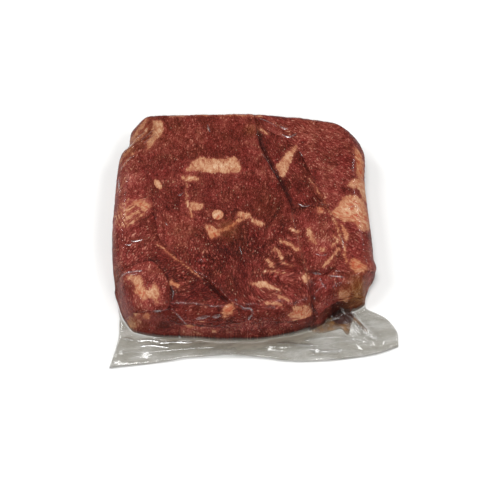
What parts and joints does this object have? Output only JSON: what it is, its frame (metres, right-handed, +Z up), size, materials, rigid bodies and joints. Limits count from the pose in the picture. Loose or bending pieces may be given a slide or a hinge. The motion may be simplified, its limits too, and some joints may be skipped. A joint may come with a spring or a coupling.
{
  "type": "vacuum-packed beef steaks",
  "caption": "Clear vacuum bag of raw tenderized beef steaks, pressed into a flat rounded block with a loose clear margin at the front.",
  "frame": {"origin": "middle of the bag's outer box in plan, on the surface that it lies on", "axes": "+Z up, +X to the right as the picture shows the bag, +Y from the loose margin towards the factory-sealed end"},
  "size_m": [0.1974, 0.2047, 0.0336],
  "materials": {
    "clear_film": "clear glossy film, slightly grey where it is loose",
    "raw_beef": "dark red raw beef with fine pale grain, wet under the film",
    "beef_fat": "cream to orange-pink fat in ragged patches on the beef",
    "meat_juice": "thin brown juice under the film"
  },
  "bodies": {
    "root": {"vacuum_bag": "raw_beef"}
  },
  "joints": []
}
